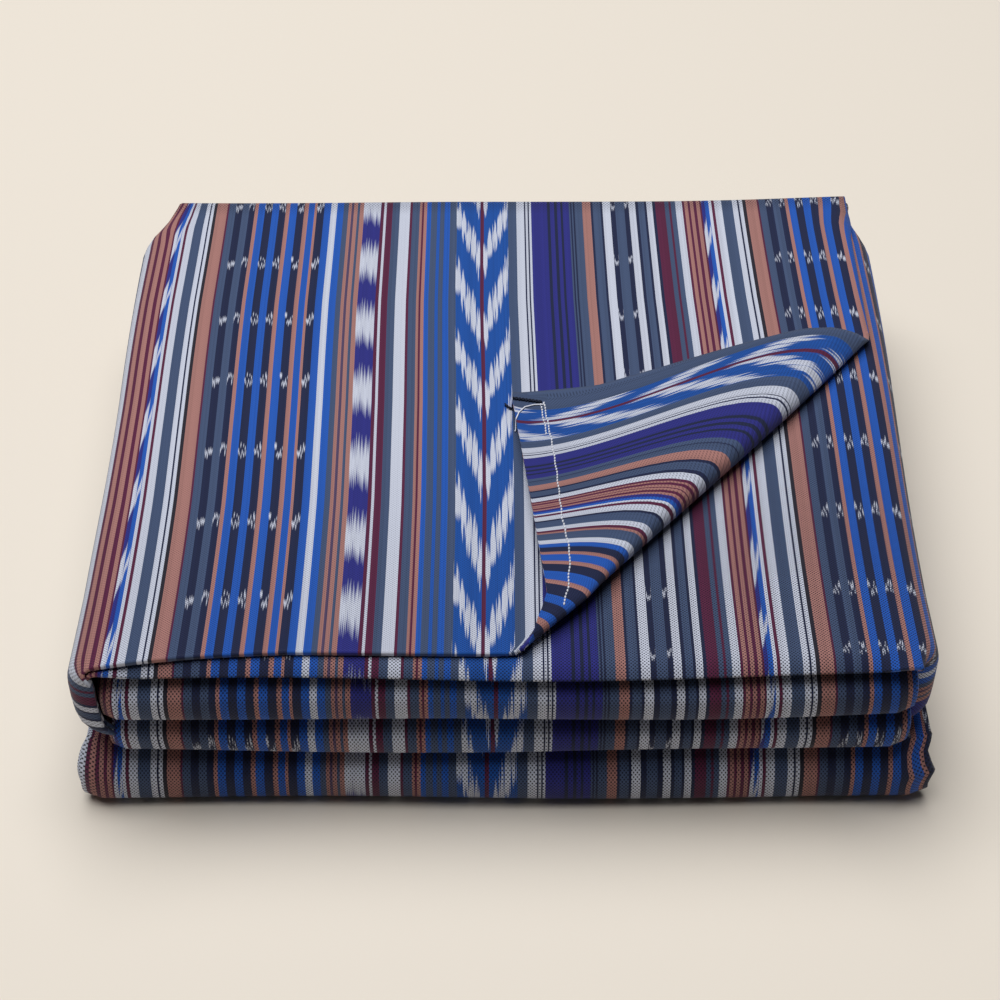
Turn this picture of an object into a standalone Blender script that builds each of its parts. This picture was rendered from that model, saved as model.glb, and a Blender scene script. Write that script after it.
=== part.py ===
"""A length of striped ikat cloth, folded for a shelf, with one corner of its top leaf turned back.

The cloth is one sheet, folded twice. Across its width it is folded in three, like a letter: a lower ply,
a middle ply and a leaf on top. The strip this makes is then laid back and forth along its length, so that
three fold bands lie one above the other at the front. Over the top pass the two side folds hang down the
stack like sleeves, and the front right corner of the leaf is rolled back over it.

Units are metres. +Z is up, the fold bands face -Y, and the origin is the middle of the base.
"""

import math
from collections import namedtuple

import bmesh
import bpy
from mathutils import Vector

# The sheet
THICKNESS = 0.0018
HEM_THICKNESS = 0.0024
PLY_PITCH = 0.0026  # from the middle of one ply to the middle of the next
HALF_STRIP = PLY_PITCH + THICKNESS / 2

# The front bands, from the top. Each is the fold between two passes of the strip. The lifts say how much
# higher the band's upper side is at its left and right ends than in the middle. Round is how far its
# ends draw back, and bulge how far they swell sideways at half height.
Band = namedtuple("Band", "height front half_width round bulge lift_left lift_right")
BANDS = (
    Band(0.0222, -0.1480, 0.1430, round=0.0025, bulge=0.000, lift_left=-0.0004, lift_right=0.0030),
    Band(0.0170, -0.1470, 0.1430, round=0.0025, bulge=0.000, lift_left=0.0006, lift_right=0.0036),
    Band(0.0236, -0.1500, 0.1540, round=0.0050, bulge=0.003, lift_left=0.0012, lift_right=0.0042),
)
BAND_GAP = 0.0010
LIFT_POWER = 1.4
END_WIDTH = 0.0050  # the last of a band's width, where its ends draw back and swell
SQUARENESS = 0.82  # 1 is a round band, and less is a flatter front
BACK = 0.1490  # the furthest reach of the back folds
BACK_HALF_WIDTH = 0.1475
PASS_SHARE = 0.3  # halfway back, a pass has widened by this share towards the back folds' width

# The top pass
TOP_HALF_WIDTH = 0.1499  # halfway back
TOP_SPREAD = 0.0200  # the half width grows by this much for each metre to the back
SLEEVE = 0.0380  # how much cloth hangs over each side
SLEEVE_RADIUS_LEFT = 0.0078
SLEEVE_RADIUS_RIGHT = 0.0107
SLEEVE_ANGLE = math.radians(99)
SLEEVE_TAPER = (0.0300, 0.1400)  # from here to here the sleeves get shorter
SLEEVE_SPREAD = (0.1000, 0.1450)  # from here to here they open out into the back folds
LOWER_PLY_START = -0.0300  # left edge of the lower ply in the top pass
LOWER_PLY_WIDENS = (0.0300, 0.1200)  # from here to here it widens to the full strip
LOWER_PLY_HEM = 0.0050
LOWER_PLY_END = -0.1290
MIDDLE_PLY_END = -0.1455
MIDDLE_ROLL = 0.0100  # the middle ply's end rolls down over the band below by this much
MIDDLE_ROLL_START = -0.1370
MIDDLE_ROLL_RADIUS = 0.0090
MIDDLE_ROLL_FADE = (0.1320, 0.1480)  # the roll dies out towards the sleeves
LEAF_EDGE = 0.1517  # the leaf's right selvage, halfway back
LEAF_END_LEFT = -0.1440
LEAF_SKEW = 0.0500  # the leaf's cut end runs back by this much for each metre to the right
LEAF_SKEW_CORNER = 0.1130  # and by this much more in its right half
END_LINE = -0.1000  # behind this line all plies of the top pass share their cross-sections

# The turned corner. The crease runs from the cut end to the selvage.
CREASE_START = (0.0084, -0.1322)
CREASE_END = (0.1526, 0.0402)
ROLL_RADIUS = 0.0043
ROLL_END_SHARE = 0.65  # the roll is this much tighter at both ends of the crease
ROLL_STEPS = 7
FLAP_CUTS = (0.012, 0.030, 0.055)  # further cuts across the flap, from the end of the roll
SNAP = 0.0003  # a cut runs through a corner of the weave that lies this near

SMALLEST_ANGLE = 0.0001
SHARP_ANGLE = math.radians(40)
EDGE = 2.0  # the share of a margin's end
BEND_SHARE = 0.8  # a bend takes at most this much of its margin
LAST_SHARE = 0.965  # the last column before a side. The leaf's is where the right sleeve's bend starts
ARC_STEPS = 6
TURN_STEPS = 4
END_ROWS = 4
TOP_ROWS = (-0.060, -0.015, 0.030, 0.068, 0.092, 0.108, 0.118, 0.126, 0.134)
CLOTH_COLOUR = (0.035, 0.075, 0.200, 1.0)
CLOTH_ROUGHNESS = 0.85

Lay = namedtuple("Lay", "half_width margin toward radii angle lower_start lower_hem leaf_edge")
Column = namedtuple("Column", "ply part share")
OFFSET = {"lower": -PLY_PITCH, "middle": 0.0, "leaf": PLY_PITCH}


def mix(a, b, share):
    return a + (b - a) * share


def ease(value, start, end):
    """0 before start, 1 after end, and a smooth step in between."""
    share = min(max((value - start) / (end - start), 0.0), 1.0)
    return share * share * (3 - 2 * share)


def pass_heights():
    """The height of the strip's middle ply in each pass, from the top pass down."""
    heights = []
    floor = 0.0
    for band in reversed(BANDS):
        heights += [floor + HALF_STRIP, floor + band.height - HALF_STRIP]
        floor += band.height + BAND_GAP
    return [floor + HALF_STRIP] + heights[::-1]


def lift(band, x):
    """How much a band's upper side rises towards its ends."""
    end = band.lift_right if x > 0 else band.lift_left
    return end * min(abs(x) / band.half_width, 1.05) ** LIFT_POWER


def pass_lift(number, x):
    """Pass 0 lies on the first band, passes 1 and 2 make it, and so on; the last pass lies on the floor."""
    if number == 2 * len(BANDS):
        return 0.0
    return lift(BANDS[(number + 1) // 2 - (number % 2) if number else 0], x)


def columns():
    """The profile of the strip, from the lower ply's free edge through both side folds to the selvage.

    In a margin, shares up to 1 lie on the bend and EDGE is the margin's end.
    """
    margin = (1 / 3, 2 / 3, 1.0, EDGE)
    turn = [step / TURN_STEPS for step in range(1, TURN_STEPS)]
    found = [Column("lower", "left", share) for share in (1.0, 0.5)]
    found += [Column("lower", "across", share) for share in (0.0, 0.33, 0.67, LAST_SHARE, 1.0)]
    found += [Column("lower", "right", share) for share in margin]
    found += [Column("lower", "turn", share) for share in turn]
    found += [Column("middle", "right", share) for share in margin[::-1]]
    found += [Column("middle", "across", share) for share in (1.0, LAST_SHARE, 0.75, 0.5, 0.25, 0.035, 0.0)]
    found += [Column("middle", "left", share) for share in margin]
    found += [Column("middle", "turn", share) for share in turn]
    found += [Column("leaf", "left", share) for share in margin[::-1]]
    shares = (0.0, 0.035, 0.2, 0.4, 0.6, 0.8, LAST_SHARE, 1.0)
    found += [Column("leaf", "across", share) for share in shares]
    return found


def beyond(column, lay):
    """How far beyond the strip's flat width a column of a side margin lies."""
    if column.share == EDGE:
        return lay.margin
    radius = lay.radii[0] if column.part == "left" else lay.radii[1]
    return column.share * min(radius * SLEEVE_ANGLE, BEND_SHARE * lay.margin)


def profile(column, lay):
    """Where a column lies across the strip and how far off its middle ply, before its sides are bent."""
    x, n = 0.0, OFFSET[column.ply]
    edge = lay.half_width + lay.margin
    if column.part == "left" and column.ply == "lower":
        x = lay.lower_start - column.share * lay.lower_hem
    elif column.part == "left":
        x = -lay.half_width - beyond(column, lay)
    elif column.part == "right":
        x = lay.half_width + beyond(column, lay)
    elif column.part == "across":
        start = lay.lower_start if column.ply == "lower" else -lay.half_width
        x = mix(start, lay.half_width, column.share)
        if column.ply == "leaf":
            x = mix(start, lay.half_width, column.share / LAST_SHARE)
            x = lay.leaf_edge if column.share == 1.0 else x
    else:
        angle = mix(-math.pi / 2, math.pi / 2, column.share)
        out = PLY_PITCH / 2 * math.cos(angle)
        n += PLY_PITCH / 2 * (1 + math.sin(angle))
        x = edge + out if column.ply == "lower" else -(edge + out)
    return x, n


def bend_side(x, n, lay):
    """Bends what lies beyond the strip's flat width, towards the leaf (+1) or away from it (-1)."""
    excess = abs(x) - lay.half_width
    if excess <= 0:
        return x, n
    radius = lay.radii[0] if x < 0 else lay.radii[1]
    angle = min(excess / radius, lay.angle)
    straight = excess - angle * radius
    arm = radius - lay.toward * n
    out = lay.half_width + arm * math.sin(angle) + straight * math.cos(angle)
    off = lay.toward * (radius - arm * math.cos(angle) + straight * math.sin(angle))
    return math.copysign(out, x), off


def strip_lay(half_width):
    return Lay(
        half_width=half_width,
        margin=END_WIDTH,
        toward=1,
        radii=(1.0, 1.0),
        angle=0.0,
        lower_start=-half_width,
        lower_hem=END_WIDTH,
        leaf_edge=half_width + END_WIDTH,
    )


def top_lay(y):
    shorter = min(max((y - SLEEVE_TAPER[0]) / (SLEEVE_TAPER[1] - SLEEVE_TAPER[0]), 0.0), 1.0)
    share = ease(y, *SLEEVE_SPREAD)
    half_width = mix(TOP_HALF_WIDTH + TOP_SPREAD * y, BACK_HALF_WIDTH, share)
    return Lay(
        half_width=half_width,
        margin=mix(SLEEVE, END_WIDTH, shorter),
        toward=-1,
        radii=(SLEEVE_RADIUS_LEFT, SLEEVE_RADIUS_RIGHT),
        angle=mix(SLEEVE_ANGLE, 0.0, share),
        lower_start=mix(LOWER_PLY_START, -half_width, ease(y, *LOWER_PLY_WIDENS)),
        lower_hem=LOWER_PLY_HEM,
        leaf_edge=mix(LEAF_EDGE + TOP_SPREAD * y, half_width + END_WIDTH, share),
    )


def cut_end(column, x):
    """Where each column of the top pass ends at the front, measured along the cloth."""
    leaf = LEAF_END_LEFT + LEAF_SKEW * (max(x, -TOP_HALF_WIDTH) + TOP_HALF_WIDTH)
    leaf += LEAF_SKEW_CORNER * max(x, 0.0)
    middle = mix(MIDDLE_PLY_END, MIDDLE_ROLL_START - MIDDLE_ROLL, middle_roll(x))
    if column.ply == "leaf":
        return leaf
    share = min(column.share, 1.0)
    if column.ply == "middle" and column.part in ("left", "turn"):
        return mix(MIDDLE_PLY_END, LEAF_END_LEFT, share if column.part == "left" else 1.0)
    if column.ply == "lower" and column.part in ("right", "turn"):
        return mix(LOWER_PLY_END, MIDDLE_PLY_END, share if column.part == "right" else 1.0)
    return LOWER_PLY_END if column.ply == "lower" else middle


def middle_roll(x):
    return 1 - ease(abs(x), *MIDDLE_ROLL_FADE)


def roll_middle_end(x, y, z):
    """Bends the middle ply's end down over the first band."""
    excess = MIDDLE_ROLL_START - y
    if excess <= 0:
        return y, z
    angle = excess / MIDDLE_ROLL_RADIUS * middle_roll(x)
    if angle < SMALLEST_ANGLE:
        return y, z
    radius = excess / angle
    return MIDDLE_ROLL_START - radius * math.sin(angle), z - radius * (1 - math.cos(angle))


def top_rows(height):
    """The rows of the top pass, from its cut end back."""
    rows = []
    for number in range(END_ROWS + 1):
        rows.append(("end", number / END_ROWS, height))
    for y in TOP_ROWS:
        rows.append(("top", y, height))
    return rows


def fold_angles():
    return [math.pi / 2 - math.pi * step / ARC_STEPS for step in range(ARC_STEPS + 1)]


def squarish(angle):
    """(across, up) on a rounded square, for a fold that presses flat against its neighbours."""
    across, up = math.cos(angle), math.sin(angle)
    return (
        math.copysign(abs(across) ** SQUARENESS, across) if abs(across) > 1e-9 else 0.0,
        math.copysign(abs(up) ** SQUARENESS, up),
    )


def strip_rows():
    """Every row of the strip as (kind, ...) from the cut end at the top to the end under the stack."""
    heights = pass_heights()
    rows = top_rows(heights[0])
    for number, (above, below) in enumerate(zip(heights, heights[1:])):
        radius = (above - below) / 2
        if number % 2 == 0:
            centre = BACK - radius - HALF_STRIP
            rows += [("back", number, centre, below + radius, radius, angle) for angle in fold_angles()]
        else:
            band = BANDS[number // 2]
            centre = band.front + radius + HALF_STRIP
            rows += [("front", number, centre, below + radius, radius, angle) for angle in fold_angles()]
        rows.append(("pass", number + 1, 0.0, below))
    rows[-1] = ("pass", len(heights) - 1, BACK - HALF_STRIP, heights[-1])
    return rows


def row_lay(row):
    if row[0] in ("end", "top"):
        return top_lay(row[1] if row[0] == "top" else END_LINE)
    if row[0] == "back":
        return strip_lay(BACK_HALF_WIDTH)
    band = BANDS[(row[1] - 1) // 2]
    halfway = mix(band.half_width, BACK_HALF_WIDTH, PASS_SHARE)
    return strip_lay(band.half_width if row[0] == "front" else halfway)


def shape_end(band, x, angle):
    """How far a band's front swells sideways and draws back near its ends."""
    share = min(max((abs(x) - band.half_width) / END_WIDTH, 0.0), 1.0)
    return math.copysign(band.bulge * share * math.cos(angle), x), band.round * share


def place(column, row, lay):
    """The point of the middle surface where this column and this row of the weave cross."""
    flat_x, flat_n = profile(column, lay)
    x, n = bend_side(flat_x, flat_n, lay)
    kind = row[0]
    if kind in ("end", "top"):
        z = row[2] + n + pass_lift(0, x)
        y = mix(cut_end(column, flat_x), END_LINE, row[1]) if kind == "end" else row[1]
        if column.ply == "middle" and column.part == "across":
            y, z = roll_middle_end(x, y, z)
        return Vector((x, y, z))
    if kind == "pass":
        up = 1 if row[1] % 2 == 0 else -1
        return Vector((x, row[2], row[3] + up * n + pass_lift(row[1], x)))
    _, number, centre_y, centre_z, radius, angle = row
    share_up = (1 + math.sin(angle)) / 2
    z_lift = mix(pass_lift(number + 1, x), pass_lift(number, x), share_up)
    if kind == "back":
        reach = radius + n
        return Vector((x, centre_y + reach * math.cos(angle), centre_z + reach * math.sin(angle) + z_lift))
    across, up = squarish(angle)
    swell, back = shape_end(BANDS[(number - 1) // 2], flat_x, angle)
    y = centre_y - (radius - n) * across + back
    return Vector((x + swell, y, centre_z + (radius - n) * up + z_lift))


def crease_points(height):
    """The ends of the crease, near the leaf's cut end and on its selvage."""
    return Vector((*CREASE_START, height)), Vector((*CREASE_END, height))


def turn_corner_back(cloth, leaf_faces, height):
    """Cuts the leaf along lines beside the crease, then rolls its corner over and back onto it."""
    start, end = crease_points(height)
    along = (end - start).normalized()
    outward = Vector((along.y, -along.x, 0.0))
    origin = start - outward * ROLL_RADIUS
    turn = math.pi * ROLL_RADIUS
    cuts = [turn * step / ROLL_STEPS for step in range(ROLL_STEPS + 1)] + [turn + cut for cut in FLAP_CUTS]
    faces = leaf_faces
    for cut in cuts:
        edges = list({edge for face in faces for edge in face.edges})
        corners = list({corner for face in faces for corner in face.verts})
        found = bmesh.ops.bisect_plane(
            cloth,
            geom=faces + edges + corners,
            dist=SNAP,
            plane_co=origin + outward * cut,
            plane_no=outward,
        )
        faces = [item for item in found["geom"] if isinstance(item, bmesh.types.BMFace)]
    faces = bmesh.ops.triangulate(cloth, faces=faces)["faces"]
    length = (end - start).length
    furthest = max((v.co - origin).dot(outward) for f in faces for v in f.verts)
    for vertex in {v for f in faces for v in f.verts}:
        away = (vertex.co - origin).dot(outward)
        if away > 0:
            share = min(max((vertex.co - origin).dot(along) / length, 0.0), 1.0)
            vertex.co += rolled(away, share, furthest, outward)


def rolled(away, share, furthest, outward):
    """How far a point moves when the cloth beyond the crease is rolled over."""
    radius = ROLL_RADIUS * mix(ROLL_END_SHARE, 1.0, math.sin(math.pi * share))
    turn = math.pi * ROLL_RADIUS
    angle = min(away / ROLL_RADIUS, math.pi)
    back = max(away - turn, 0.0)
    out = ROLL_RADIUS * math.sin(angle) - back
    up = radius * (1 - math.cos(angle))
    if back > 0:
        up = mix(up, PLY_PITCH, ease(back, 0.0, furthest - turn))
    return outward * (out - away) + Vector((0.0, 0.0, up))


def build_cloth():
    """The sheet's middle surface as a grid of the weave, folded into place, then given its thickness."""
    cloth = bmesh.new()
    across = columns()
    along = strip_rows()
    grid = []
    for row in along:
        lay = row_lay(row)
        grid.append([cloth.verts.new(place(column, row, lay)) for column in across])
    leaf_faces = []
    for upper, lower, row in zip(grid, grid[1:], along):
        for number in range(len(across) - 1):
            corners = (upper[number], upper[number + 1], lower[number + 1], lower[number])
            face = cloth.faces.new(corners)
            on_leaf = across[number].ply == "leaf" and across[number].part == "across"
            if on_leaf and row[0] in ("end", "top"):
                leaf_faces.append(face)
    height = pass_heights()[0] + PLY_PITCH
    end_row = zip(grid[0], across)
    hem = {vertex for vertex, column in end_row if column.ply == "leaf" and column.part == "across"}
    turn_corner_back(cloth, leaf_faces, height)
    mesh = bpy.data.meshes.new("cloth")
    cloth.verts.index_update()
    hem_numbers = [vertex.index for vertex in hem]
    cloth.to_mesh(mesh)
    cloth.free()
    return mesh, hem_numbers


def give_thickness(piece, hem_numbers):
    """Solidify, a little thicker along the hemmed end."""
    group = piece.vertex_groups.new(name="thickness")
    plain = THICKNESS / HEM_THICKNESS
    group.add([vertex.index for vertex in piece.data.vertices], plain, "REPLACE")
    group.add(hem_numbers, 1.0, "REPLACE")
    solid = piece.modifiers.new("Thickness", "SOLIDIFY")
    solid.thickness = HEM_THICKNESS
    solid.offset = 0.0
    solid.use_even_offset = True
    solid.vertex_group = group.name


def cloth_material():
    material = bpy.data.materials.new("ikat cotton")
    material.use_nodes = True
    shader = material.node_tree.nodes["Principled BSDF"]
    shader.inputs["Base Color"].default_value = CLOTH_COLOUR
    shader.inputs["Roughness"].default_value = CLOTH_ROUGHNESS
    shader.inputs["Metallic"].default_value = 0.0
    return material


def clear_scene():
    for item in list(bpy.data.objects):
        bpy.data.objects.remove(item, do_unlink=True)


def main():
    clear_scene()
    mesh, hem_numbers = build_cloth()
    piece = bpy.data.objects.new("cloth", mesh)
    bpy.context.scene.collection.objects.link(piece)
    mesh.materials.append(cloth_material())
    give_thickness(piece, hem_numbers)
    mesh.shade_smooth()
    mesh.set_sharp_from_angle(angle=SHARP_ANGLE)


main()
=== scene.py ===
# %% [markdown]
# # A folded length of striped ikat cloth
#
# The real thing is one length of cotton, woven from yarns that were dyed before weaving. It is folded in
# three across its width, laid back and forth in seven passes, and one corner of its top leaf is turned back.
#
# In Blender a cloth like this could be draped by simulation. Here it is built from its fold instead: a grid
# of the weave is placed point by point along the fold. The grid then knows where each thread runs, so the
# stripes follow every bend by themselves.

# %% [markdown]
# ## Loading the frame
#
# The plain solid of the folded cloth was built first, for its size, its weight and its place. The looks go
# on in the same place, so it is loaded here.

import math
from collections import namedtuple

import bmesh
import bpy
import numpy as np
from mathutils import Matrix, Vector
from mathutils.bvhtree import BVHTree


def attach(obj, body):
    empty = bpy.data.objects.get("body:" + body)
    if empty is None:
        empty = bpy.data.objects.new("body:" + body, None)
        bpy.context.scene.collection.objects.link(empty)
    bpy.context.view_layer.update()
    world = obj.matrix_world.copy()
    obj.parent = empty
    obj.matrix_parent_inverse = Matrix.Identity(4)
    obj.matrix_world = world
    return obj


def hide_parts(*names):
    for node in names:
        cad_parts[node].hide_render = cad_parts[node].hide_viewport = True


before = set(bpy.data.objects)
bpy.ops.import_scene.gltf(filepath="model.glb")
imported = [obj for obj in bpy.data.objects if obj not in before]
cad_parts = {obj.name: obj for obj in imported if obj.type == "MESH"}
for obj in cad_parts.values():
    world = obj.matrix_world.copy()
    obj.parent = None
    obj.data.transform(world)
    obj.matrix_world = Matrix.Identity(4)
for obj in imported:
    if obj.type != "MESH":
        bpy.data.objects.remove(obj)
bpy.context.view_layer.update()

# %% [markdown]
# ## Sizes of the fold
#
# Each front band is the bend between two passes of the strip. These are the same sizes as in the solid:
# the looks are put on that shape, so the two have to agree. All sizes are in metres.

# %% Sizes of the fold
THICKNESS = 0.0014
HEM_THICKNESS = 0.0022
PLY_PITCH = 0.0026  # from the middle of one ply to the middle of the next
HALF_STRIP = 0.0035  # from the middle ply to the outside of the folded strip

Band = namedtuple("Band", "height front half_width round bulge lift_left lift_right")
BANDS = (
    Band(0.0222, -0.1480, 0.1430, 0.0025, 0.000, -0.0004, 0.0030),
    Band(0.0170, -0.1470, 0.1430, 0.0025, 0.000, 0.0006, 0.0036),
    Band(0.0236, -0.1500, 0.1540, 0.0030, 0.003, 0.0012, 0.0042),
)
BAND_GAP = 0.0010
LIFT_POWER = 1.4  # how suddenly a band's ends rise
END_WIDTH = 0.0050  # how far the bend at a lower pass's side reaches
SQUARENESS = 0.82  # 1 would be a round section, and less is squarer
SQUARE_BELOW = 0.55
ROUND_ABOVE = 2.5
BACK = 0.1490
BACK_HALF_WIDTH = 0.1475

TOP_HALF_WIDTH = 0.1499
TOP_SPREAD = 0.0200  # how much wider the top pass gets for each metre towards the back
SLEEVES = (0.0380, 0.0450)  # how long the sides are that hang down: left, right
SLEEVE_RADII = (0.0078, 0.0107)  # left, right
SLEEVE_ANGLE = math.radians(93)
HOOK = 0.0090  # the last part of a sleeve, which curls in under itself
HOOK_RADIUS = 0.0075
CURL_START = (-0.1370, -0.1290)  # left, right: the sleeves' front ends curl in from here
CURL_RADIUS = (0.0062, 0.0078)
CURL_MOST = math.radians(112)
CURL_GROWS = (0.1, 1.5)  # over this part of the sleeve's bend, in its radii
LEFT_WIDER = 0.0019  # how much the cloth widens to the left, towards the front
LEFT_WIDER_X = (0.135, 0.154)
LEFT_WIDER_Y = (-0.02, 0.09)
SLEEVE_TAPER = (0.0300, 0.1400)  # between these places along the stack the sleeves get shorter
SLEEVE_SPREAD = (0.1120, 0.1370)  # and between these they lift until the back fold lies flat
LOWER_PLY_START = -0.0300  # the lower ply reaches from here, left of the middle, to the right side
LOWER_PLY_WIDENS = (0.0300, 0.1200)
LOWER_PLY_HEM = 0.0050
LOWER_PLY_END = -0.1290
MIDDLE_PLY_END = -0.1455
MIDDLE_ROLL = 0.0082  # the last part of the middle ply, which rolls down over the band below it
MIDDLE_ROLL_START = -0.1370
MIDDLE_ROLL_RADIUS = 0.0090
MIDDLE_ROLL_FADE = (0.1320, 0.1480)
LEAF_EDGE = 0.1517
END_LINE = -0.1000  # in front of this line the rows follow the cut end
# The leaf's cut end runs through these places, from the left side to the start of the crease.
LEAF_END_X = (-0.160, -0.154, -0.148, -0.136, -0.111, -0.080, -0.055, -0.003, 0.008)
LEAF_END_Y = (-0.1475, -0.1469, -0.1445, -0.1422, -0.1396, -0.1376, -0.1373, -0.1366, -0.1362)
LEAF_SKEW = 0.163  # beyond the crease, how much it runs back for each metre to the right

CREASE_START = (0.0084, -0.1322)
CREASE_END = (0.1526, 0.0402)
ROLL_RADIUS = 0.0043
ROLL_END_SHARE = 0.65  # how much of its height the roll keeps at the crease's ends

print("bands at the front, in millimetres:", [round(1000 * band.height, 1) for band in BANDS])

# %% [markdown]
# ## How finely the cloth is divided
#
# A solid for measuring needs few faces. A cloth that is looked at needs enough to bend smoothly, and
# closer ones where the bends are tight. Columns run across the strip and rows along it.

# %% How fine the grid is
LOWER_COLUMNS = 56
MIDDLE_COLUMNS = 74
LEAF_COLUMNS = 92
BEND_COLUMNS = 7
TURN_STEPS = 4
ARC_STEPS = 11
END_SHARES = (0.0, 0.02, 0.045, 0.07, 0.10, 0.13, 0.17, 0.21, 0.26, 0.32, 0.40, 0.50, 0.60, 0.72, 0.86, 1.0)
TOP_STEP = 0.0052
TOP_BACK = 0.1340  # the top pass ends here and the first back fold starts

EDGE = 2.0  # a margin's share is 0 to 1 round its bend and 1 to 2 from there to its edge
HANGING_SHARES = (1.3, 1.5, 1.62, 1.72, 1.82, 1.91, EDGE)
BEND_SHARE = 0.8
LAST_SHARE = 0.965
OFFSET = {"lower": -PLY_PITCH, "middle": 0.0, "leaf": PLY_PITCH}
Column = namedtuple("Column", "ply part share")


def mix(a, b, share):
    return a + (b - a) * share


def ease(value, start, end):
    share = min(max((value - start) / (end - start), 0.0), 1.0)
    return share * share * (3 - 2 * share)


def spread(count, start=0.0, end=1.0):
    return [mix(start, end, step / count) for step in range(count + 1)]


def columns():
    margin = spread(BEND_COLUMNS)[1:] + list(HANGING_SHARES)
    turn = [step / TURN_STEPS for step in range(1, TURN_STEPS)]
    found = [Column("lower", "left", share) for share in (1.0, 0.5)]
    found += [Column("lower", "across", share) for share in spread(LOWER_COLUMNS)]
    found += [Column("lower", "right", share) for share in margin]
    found += [Column("lower", "turn", share) for share in turn]
    found += [Column("middle", "right", share) for share in margin[::-1]]
    found += [Column("middle", "across", share) for share in spread(MIDDLE_COLUMNS)[::-1]]
    found += [Column("middle", "left", share) for share in margin]
    found += [Column("middle", "turn", share) for share in turn]
    found += [Column("leaf", "left", share) for share in margin[::-1]]
    across = spread(LEAF_COLUMNS, 0.0, LAST_SHARE) + [1.0]
    found += [Column("leaf", "across", share) for share in across]
    return found


print(len(columns()), "columns across the strip")

# %% [markdown]
# ## The heights of the passes
#
# A point of the cloth has a place across the strip and a place along it. The strip passes back and forth
# seven times, and each pass has its height over the floor. Towards the sides the bands rise a little, as
# the bends there hold more cloth.

# %% Heights of the passes
MOST_LIFT = 1.05  # the ends rise no further than this, in half widths


def pass_heights():
    heights = []
    floor = 0.0
    for band in reversed(BANDS):
        heights += [floor + HALF_STRIP, floor + band.height - HALF_STRIP]
        floor += band.height + BAND_GAP
    return [floor + HALF_STRIP] + heights[::-1]


def lift(band, x):
    end = band.lift_right if x > 0 else band.lift_left
    return end * min(abs(x) / band.half_width, MOST_LIFT) ** LIFT_POWER


def pass_lift(number, x):
    if number == 2 * len(BANDS):
        return 0.0
    return lift(BANDS[(number + 1) // 2 - (number % 2) if number else 0], x)


print("heights of the passes, in millimetres:", [round(1000 * height, 1) for height in pass_heights()])

# %% [markdown]
# ## Across the strip
#
# Across its width the cloth is folded in three: a lower ply, a middle ply and the leaf on top. A lay says
# how wide the plies are at one place along the strip, and how far their sides hang down.

# %% Across the strip
Lay = namedtuple("Lay", "half_width margins toward radii angle lower_start lower_hem leaf_edge")


def beyond(column, lay):
    side = 0 if column.part == "left" else 1
    bend = min(lay.radii[side] * SLEEVE_ANGLE, BEND_SHARE * lay.margins[side])
    if column.share > 1.0:
        return mix(bend, lay.margins[side], column.share - 1.0)
    return column.share * bend


def profile(column, lay):
    x, n = 0.0, OFFSET[column.ply]
    edge = lay.half_width + lay.margins[1 if column.ply == "lower" else 0]
    if column.part == "left" and column.ply == "lower":
        x = lay.lower_start - column.share * lay.lower_hem
    elif column.part == "left":
        x = -lay.half_width - beyond(column, lay)
    elif column.part == "right":
        x = lay.half_width + beyond(column, lay)
    elif column.part == "across":
        start = lay.lower_start if column.ply == "lower" else -lay.half_width
        x = mix(start, lay.half_width, column.share)
        if column.ply == "leaf":
            x = mix(start, lay.half_width, column.share / LAST_SHARE)
            x = lay.leaf_edge if column.share == 1.0 else x
    else:
        angle = mix(-math.pi / 2, math.pi / 2, column.share)
        out = PLY_PITCH / 2 * math.cos(angle)
        n += PLY_PITCH / 2 * (1 + math.sin(angle))
        x = edge + out if column.ply == "lower" else -(edge + out)
    return x, n


def strip_lay(half_width):
    edge = half_width + END_WIDTH
    return Lay(half_width, (END_WIDTH, END_WIDTH), 1, (1.0, 1.0), 0.0, -half_width, END_WIDTH, edge)


def top_lay(y):
    shorter = min(max((y - SLEEVE_TAPER[0]) / (SLEEVE_TAPER[1] - SLEEVE_TAPER[0]), 0.0), 1.0)
    share = ease(y, *SLEEVE_SPREAD)
    half_width = mix(TOP_HALF_WIDTH + TOP_SPREAD * y, BACK_HALF_WIDTH, share)
    return Lay(
        half_width=half_width,
        margins=[mix(sleeve, END_WIDTH, shorter) for sleeve in SLEEVES],
        toward=-1,
        radii=SLEEVE_RADII,
        angle=mix(SLEEVE_ANGLE, 0.0, share),
        lower_start=mix(LOWER_PLY_START, -half_width, ease(y, *LOWER_PLY_WIDENS)),
        lower_hem=LOWER_PLY_HEM,
        leaf_edge=mix(LEAF_EDGE + TOP_SPREAD * y, half_width + END_WIDTH, share),
    )


print("the stack is", round(2000 * (top_lay(0.0).half_width + SLEEVE_RADII[0])), "mm across at its top")

# %% [markdown]
# ## The sides that hang down
#
# Over the top pass both sides of the cloth hang down the stack, like sleeves. Each is bent over the edge,
# hangs straight and curls in at its end, and its front end curls in towards the stack too. A cloth
# simulation would find such bends by itself, but these ones have to match the solid's, so they are arcs.

# %% Sides that hang down
LEAST_CURL = 0.01  # a smaller angle than this is left straight


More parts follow.
